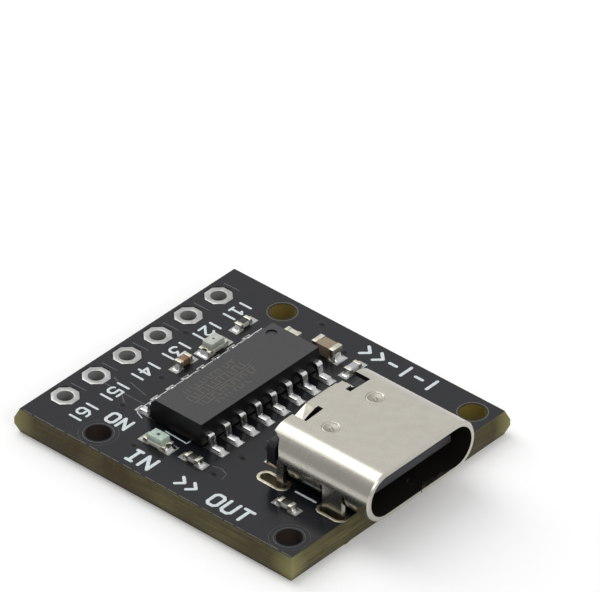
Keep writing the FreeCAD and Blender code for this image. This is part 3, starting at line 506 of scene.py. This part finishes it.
def fillet(bm, spot, direction, wide, high, reach, flare=0.12, hollow=2.3):
    """A reflowed joint against an upright face: tall at the face, thin at its toe.

    The spot is the middle of the face's foot, and the direction points away from it."""
    along = Vector((*direction, 0))
    side = Vector((-along.y, along.x, 0))
    steps, ribs = 8, 8
    grid = []
    lump = random.uniform(-0.12, 0.12)
    for i in range(steps + 1):
        u = i / steps
        row = []
        for j in range(ribs + 1):
            v = 2 * j / ribs - 1
            rise = high * (1 - u) ** hollow * (1 - 0.35 * abs(v) ** 3)
            edge = (1 - abs(v) ** 6) * 0.8 + 0.2
            half = wide / 2 * (1 + flare * u - 0.35 * u ** 3)
            z = rise * edge + 0.03 * (1 - abs(v) ** 4) * (1 - u ** 4)
            z += lump * high * u * (1 - u) * (1 - v * v)
            out = reach * (u - 0.10 * u * v * v)
            place = Vector((*spot, 0)) + along * out + side * v * half
            row.append(bm.verts.new((place.x, place.y, FOOT + max(z, 0.004))))
        grid.append(row)
    base = [[bm.verts.new((p.co.x, p.co.y, FOOT)) for p in row] for row in grid]
    for i in range(steps):
        for j in range(ribs):
            bm.faces.new((grid[i][j], grid[i + 1][j],
                          grid[i + 1][j + 1], grid[i][j + 1]))
            bm.faces.new((base[i][j], base[i][j + 1],
                          base[i + 1][j + 1], base[i + 1][j]))
    rim_top, rim_low = (sheet[0] + [row[-1] for row in sheet[1:]] + sheet[-1][-2::-1]
                        + [row[0] for row in sheet[-2:0:-1]] for sheet in (grid, base))
    for i in range(len(rim_top)):
        j = (i + 1) % len(rim_top)
        bm.faces.new((rim_top[i], rim_top[j], rim_low[j], rim_low[i]))


def small_joints():
    """Both ends of every small chip and light."""
    bm = bmesh.new()
    tall = (("capacitor_brown_ends", 0.62), ("capacitor_tan_ends", 0.60),
            ("capacitor_small_ends", 0.62), ("resistor_data_ends", 0.8),
            ("resistor_power_ends", 0.8), ("resistor_left_ends", 0.8),
            ("resistor_right_ends", 0.8), ("power_light_ends", 0.95),
            ("data_light_ends", 0.95))
    for node, share in tall:
        low, high = span(node)
        middle = (low + high) / 2
        size = high - low
        rise = size.z * share
        if size.x > size.y:
            spots = (((high.x, middle.y), (1, 0)), ((low.x, middle.y), (-1, 0)))
            wide = size.y
        else:
            spots = (((middle.x, high.y), (0, 1)), ((middle.x, low.y), (0, -1)))
            wide = size.x
        for spot, direction in spots:
            fillet(bm, spot, direction, wide * 0.92, rise * 0.85, 0.27)
    mesh_piece("solder_of_small_parts", bm, "solder", 50, ["small_joints"])


def chip_joints():
    """A heel and a toe of solder at each lead of the chip."""
    bm = bmesh.new()
    low, high = span("chip_leads")
    middle = (low.y + high.y) / 2
    for i in range(8):
        y = middle + (i - 3.5) * CHIP_PITCH
        for x, way in ((high.x - 0.01, 1), (low.x + 0.01, -1)):
            fillet(bm, (x, y), (way, 0), 0.50, 0.19, 0.30, 0.1, 1.6)
    mesh_piece("solder_of_chip", bm, "solder", 50, ["chip_joints"])


def receptacle_joints():
    """A toe of solder at each tail of the receptacle."""
    bm = bmesh.new()
    x = span("usb_joints")[1].x
    for side in (-1, 1):
        for i in range(4):
            fillet(bm, (x, side * (0.25 + 0.5 * i)), (-1, 0), 0.26, 0.13, 0.20)
        for y in (2.40, 3.20):
            fillet(bm, (x, side * y), (-1, 0), 0.54, 0.13, 0.20)
    mesh_piece("solder_of_receptacle", bm, "solder", 50, ["usb_joints"])


# Print on the board, in plain figures and shapes

VIAS = ((-3.07, -7.16), (-2.81, 8.16), (1.98, -6.16), (-0.10, 7.02), (-6.06, -4.86),
        (-1.88, -0.80), (-1.83, -2.92), (2.20, -4.04), (2.64, -2.48), (2.57, 2.42),
        (-8.04, 2.49), (-6.18, -1.53), (-2.81, 0.75), (-2.15, 3.19), (-2.66, 4.48))
# Strokes of each sign, on a grid 4 wide and 6 high
GLYPHS = {
    "1": [[(1, 4.6), (2.4, 6), (2.4, 0)], [(1, 0), (3.8, 0)]],
    "2": [[(0, 5), (1, 6), (3, 6), (4, 5), (4, 4), (0, 0), (4, 0)]],
    "3": [[(0, 6), (4, 6), (2, 3.6), (3, 3.6), (4, 2.6), (4, 1), (3, 0), (1, 0),
           (0, 1)]],
    "4": [[(3, 0), (3, 6), (0, 2), (4, 2)]],
    "5": [[(4, 6), (0, 6), (0, 3.5), (3, 3.5), (4, 2.5), (4, 1), (3, 0), (1, 0),
           (0, 1)]],
    "6": [[(3.6, 6), (1.6, 6), (0, 4.2), (0, 1), (1, 0), (3, 0), (4, 1), (4, 2.5),
           (3, 3.5), (0, 3.5)]],
    "I": [[(0.8, 6), (3.2, 6)], [(2, 6), (2, 0)], [(0.8, 0), (3.2, 0)]],
    "N": [[(0, 0), (0, 6), (4, 0), (4, 6)]],
    "O": [[(0, 1), (0, 5), (1, 6), (3, 6), (4, 5), (4, 1), (3, 0), (1, 0), (0, 1)]],
    "T": [[(0, 6), (4, 6)], [(2, 6), (2, 0)]],
    "U": [[(0, 6), (0, 1), (1, 0), (3, 0), (4, 1), (4, 6)]],
    ">": [[(0.6, 5.6), (3.4, 3), (0.6, 0.4)]],
    "-": [[(0.4, 3), (3.6, 3)]],
    "|": [[(2, 6), (2, 0)]],
}


def letters(bm, text, start, along, high, stroke, gap):
    """Strokes of a line of signs, from its start, along one of the board's axes.

    Each stroke stands a little higher than the last, so that no two faces coincide."""
    along = Vector(along)
    up = Vector((-along.y, along.x))
    unit = high / 6
    pen = Vector(start)
    count = 0
    for sign in text:
        for line in GLYPHS[sign]:
            points = [pen + along * u * unit + up * v * unit for u, v in line]
            for a, b in zip(points, points[1:]):
                count += 1
                capsule(bm, a, b, stroke, TOP, TOP + INK_HIGH + 0.0002 * count)
        pen = pen + along * (4 * unit + high * gap)


def strokes(bm, lines, stroke):
    """Printed lines, each a list of places on the board."""
    for index, line in enumerate(lines):
        for a, b in zip(line, line[1:]):
            capsule(bm, a, b, stroke, TOP, TOP + INK_HIGH + 0.0003 * (index + 1))


def print_on_board():
    """Plain figures, ON, IN, OUT, arrows and bars."""
    bm = bmesh.new()
    # Figures between bars beside the six header holes, read from the header's side
    for i in range(6):
        letters(bm, "|%d|" % (6 - i), (-7.66, HEADER_PITCH * (i - 2.5) + 0.56), (0, -1),
                0.80, 0.15, 0.20)
    # Beside the power light, and along the edge
    letters(bm, "ON", (-5.95, -6.50), (1, 0), 0.86, 0.19, 0.36)
    letters(bm, "IN", (-2.75, -8.32), (1, 0), 1.00, 0.21, 0.36)
    letters(bm, ">>", (0.85, -8.25), (1, 0), 0.86, 0.20, 0.30)
    letters(bm, "OUT", (3.35, -8.32), (1, 0), 1.00, 0.21, 0.36)
    letters(bm, ">>-|-|", (0.45, 7.50), (1, 0), 0.94, 0.20, 0.36)
    # Outline of the chip, with its hook, and a bar beside the receptacle
    strokes(bm, [[(-2.65, -5.04), (-1.02, -5.10), (-1.00, -4.80)]], 0.08)
    strokes(bm, [[(-4.45, -5.02), (-5.02, -4.80), (-5.16, -4.50)]], 0.06)
    gaps = [(i - 3.0) * CHIP_PITCH for i in range(7)]
    strokes(bm, [[(-5.13, y - 0.27), (-5.13, y + 0.27)] for y in gaps]
            + [[(-5.13, 4.85), (-5.13, 5.64)]], 0.06)
    strokes(bm, [[(6.42, -4.34), (7.86, -4.34)]], 0.14)
    mesh_piece("board_print", bm, "ink")


def under_print():
    """Pale block on the underside, below the receptacle."""
    bm = bmesh.new()
    bar(bm, (5.93, -2.5, -UNDER), (9.9, 2.5, 0.004))
    mesh_piece("under_print", bm, "ink")


def copper_relief():
    """Copper under the coat: thin ridges and rings that the coat follows, with a
    painted highlight on the rims of the +Y holes.
    """
    bm = bmesh.new()
    rise = 0.014
    lines = []
    for i in range(6):
        y = (i - 2.5) * HEADER_PITCH + 1.10
        lines.append([(-9.62, y), (-8.50, y + 0.03)])
    lines += [[(-8.22, -3.26), (-7.60, -3.48), (-7.29, -3.53)],
              [(-7.16, -3.02), (-5.72, -3.33)], [(-8.18, -4.02), (-5.23, -3.99)],
              [(1.43, -5.67), (2.0, -5.51), (2.55, -5.72), (2.64, -6.22)],
              [(2.1, -1.95), (3.3, -1.75)], [(-6.95, -4.02), (-6.2, -4.6)],
              [(2.64, -2.30), (3.4, -1.75)], [(2.57, 2.60), (3.3, 2.9)]]
    for index, line in enumerate(lines):
        for a, b in zip(line, line[1:]):
            capsule(bm, a, b, 0.06, TOP - SUNK, TOP + rise + 0.0003 * index, 0.5)
    mesh_piece("copper_relief_top", bm, "trace", 60)
    # Painted highlight: pale olive on the rims of the +Y holes; the -Y holes keep the
    # copper's colour
    for side, paint in ((1, "lit_rim_olive"), (-1, "trace")):
        bm = bmesh.new()
        for x in MOUNT_X:
            spot = (x, side * MOUNT_Y)
            ring(bm, spot, 0.86, 0.91, TOP - SUNK, TOP + 0.012)
            if side < 0:
                ring(bm, spot, 1.14, 1.165, TOP - SUNK, TOP + 0.006)
        mesh_piece("mounting_rims_%s" % paint, bm, paint, 60)


def edge_line():
    """A thin pale line along the board's front edge, where the coat ends, painted as
    the highlight on that edge.
    """
    bm = bmesh.new()
    y = 0.06 - HALF_WIDE
    for i in range(24):
        x = -9.9 + i * 0.84
        capsule(bm, (x, y), (x + random.uniform(0.45, 0.80), y), 0.045, TOP - SUNK,
                TOP + 0.006)
    mesh_piece("edge_line", bm, "lit_rim_olive", 60)


def under_relief():
    """Copper under the coat on the underside."""
    bm = bmesh.new()
    lines = [[(-8.2, -5.7), (-2.9, -0.4)], [(-8.1, -0.4), (-4.6, 3.0), (-2.1, 3.1)],
             [(-0.35, 6.16), (0.0, 0.64)], [(-0.1, -4.9), (2.0, -6.9)],
             [(-7.6, -5.7), (-2.6, -0.7), (-0.4, -0.7)]]
    for index, line in enumerate(lines):
        for a, b in zip(line, line[1:]):
            capsule(bm, a, b, 0.10, -UNDER * (0.5 + 0.08 * index), 0.004, 0.0)
    mesh_piece("copper_relief_under", bm, "trace", 60)


def via_pits():
    """A low rim of coat round each via, and a dark disc over its middle: painted shade
    in the pit.
    """
    rims = bmesh.new()
    dots = bmesh.new()
    for x, y in VIAS:
        ring(rims, (x, y), 0.16, 0.31, TOP - SUNK, TOP + 0.008, 24)
        # Painted shade: a dark disc over the via's pit
        capsule(dots, (x - 0.01, y), (x + 0.01, y), 0.31, TOP - SUNK, TOP + 0.002,
                0.2, 8)
    mesh_piece("via_rims", rims, "mask", 60)
    mesh_piece("via_pits", dots, "via", 60)


def chip_marking():
    """Faint rows of plain strokes, which spell nothing, on the chip."""
    bm = bmesh.new()
    z = span("chip_body")[1].z
    count = 0
    for x, half, start, end in ((-2.78, 0.17, -3.25, 0.65), (-2.20, 0.24, -3.55, 1.05),
                                (-1.42, 0.17, -3.40, 0.95), (-0.92, 0.13, -2.60, 0.10)):
        y = start
        while y < end:
            long = random.uniform(0.16, 0.30)
            count += 1
            top = z + 0.003 + 0.00004 * count
            capsule(bm, (x - half, y), (x + half, y), 0.050, z - SUNK, top)
            if random.random() < 0.7:
                side = random.choice((-half, half))
                capsule(bm, (x + side, y), (x + side, y + long), 0.045, z - SUNK,
                        top + 0.0004)
            y += long + 0.09
    capsule(bm, (-1.76, -3.6), (-1.76, 1.1), 0.045, z - SUNK, z + 0.0025)
    mesh_piece("chip_marking", bm, "mark")


def light_dies():
    """The dark die that shows through the top of each lens."""
    for name, across in (("power_light", 0.20), ("data_light", 0.12)):
        low, high = span(name + "_lens")
        middle = (low + high) / 2
        bm = bmesh.new()
        bar(bm, (middle.x - across / 2, middle.y - across / 2, high.z - 0.05),
            (middle.x + across / 2, middle.y + across / 2, high.z + 0.004))
        mesh_piece(name + "_die", bm, "die")


# Floor, lamps and camera

def where_seen(tree, unseen_level, seen_level):
    """One level for the rays of the camera, gloss and glass, another for the rest."""
    path = tree.nodes.new("ShaderNodeLightPath")
    seen = tree.nodes.new("ShaderNodeMath")
    seen.operation = "MAXIMUM"
    tree.links.new(path.outputs["Is Camera Ray"], seen.inputs[0])
    tree.links.new(path.outputs["Is Transmission Ray"], seen.inputs[1])
    mirrored = tree.nodes.new("ShaderNodeMath")
    mirrored.operation = "MAXIMUM"
    tree.links.new(seen.outputs[0], mirrored.inputs[0])
    tree.links.new(path.outputs["Is Glossy Ray"], mirrored.inputs[1])
    level = tree.nodes.new("ShaderNodeMapRange")
    level.inputs["To Min"].default_value = unseen_level
    level.inputs["To Max"].default_value = seen_level
    tree.links.new(mirrored.outputs[0], level.inputs["Value"])
    return level.outputs["Result"]


def floor():
    """A white floor, 3 m across, that keeps the object's shadow."""
    bm = bmesh.new()
    bmesh.ops.create_grid(bm, x_segments=1, y_segments=1, size=1.5)
    mesh = bpy.data.meshes.new("floor")
    bm.to_mesh(mesh)
    bm.free()
    obj = bpy.data.objects.new("floor", mesh)
    obj.location.z = -2 * UNDER * MM
    bpy.context.scene.collection.objects.link(obj)
    p = Paint("floor_white", (0.93, 0.93, 0.93), 0.9, Specular_IOR_Level=0.0,
              Emission_Color=(1.0, 1.0, 1.0, 1.0))
    p.link(where_seen(p.tree, 0.0, 0.13), p.shader.inputs["Emission Strength"])
    obj.data.materials.append(p.mat)


def world():
    """A pale room, seen as white by the camera and by gloss and glass.

    Its walls are darker towards -Y, as the photograph's reflections show."""
    scene = bpy.context.scene
    room = bpy.data.worlds.new("room")
    room.use_nodes = True
    scene.world = room
    tree = room.node_tree
    back = tree.nodes["Background"]
    back.inputs["Color"].default_value = (1.0, 1.0, 1.0, 1.0)
    toward = tree.nodes.new("ShaderNodeTexCoord")
    split = tree.nodes.new("ShaderNodeSeparateXYZ")
    tree.links.new(toward.outputs["Generated"], split.inputs[0])
    walls = tree.nodes.new("ShaderNodeMapRange")
    for socket, number in (("From Min", -0.65), ("From Max", 0.2),
                           ("To Min", 0.5), ("To Max", 1.0)):
        walls.inputs[socket].default_value = number
    tree.links.new(split.outputs["Y"], walls.inputs["Value"])
    total = tree.nodes.new("ShaderNodeMath")
    total.operation = "MULTIPLY"
    tree.links.new(where_seen(tree, 0.66, 1.0), total.inputs[0])
    tree.links.new(walls.outputs["Result"], total.inputs[1])
    tree.links.new(total.outputs[0], back.inputs["Strength"])


def lamp(name, place, size, power):
    """A soft rectangular lamp that faces the object, its place and size in mm."""
    data = bpy.data.lights.new(name, "AREA")
    data.shape = "RECTANGLE"
    data.size, data.size_y = size[0] * MM, size[1] * MM
    data.energy = power
    obj = bpy.data.objects.new(name, data)
    obj.location = Vector(place) * MM
    toward = -Vector(place).normalized()
    obj.rotation_euler = toward.to_track_quat("-Z", "Y").to_euler()
    bpy.context.scene.collection.objects.link(obj)


def lamps():
    lamp("lamp_over", (-108, 4, 170), (130, 260), 0.22)
    lamp("lamp_right", (170, -60, 120), (110, 110), 0.08)


def camera():
    """The photograph's viewing angle, as measured on the header row and the board."""
    azimuth, elevation, roll = (math.radians(a) for a in (42.007, 36.034, -0.223))
    distance = 441.36
    right_of_frame = -2.11
    up_of_frame = -6.319
    focal = 476.14
    back = Vector((math.sin(azimuth) * math.cos(elevation),
                   -math.cos(azimuth) * math.cos(elevation), math.sin(elevation)))
    right = Vector((math.cos(azimuth), math.sin(azimuth), 0))
    up = back.cross(right)
    right, up = (right * math.cos(roll) + up * math.sin(roll),
                 up * math.cos(roll) - right * math.sin(roll))
    data = bpy.data.cameras.new("camera")
    data.lens = focal
    data.sensor_width = 36
    data.clip_start = 0.01
    data.clip_end = 10
    obj = bpy.data.objects.new("camera", data)
    place = (Vector((0, 0, TOP)) + back * distance
             - right * right_of_frame - up * up_of_frame)
    turn = Matrix((right, up, back)).transposed().to_4x4()
    obj.matrix_world = Matrix.Translation(place * MM) @ turn
    bpy.context.scene.collection.objects.link(obj)
    bpy.context.scene.camera = obj


dress_board()
dress_small_parts()
dress_chip()
dress_receptacle()
dimple_rims()
small_joints()
chip_joints()
receptacle_joints()
print_on_board()
under_print()
copper_relief()
edge_line()
under_relief()
via_pits()
chip_marking()
light_dies()
floor()
world()
lamps()
camera()
bpy.context.scene.view_settings.view_transform = "Standard"
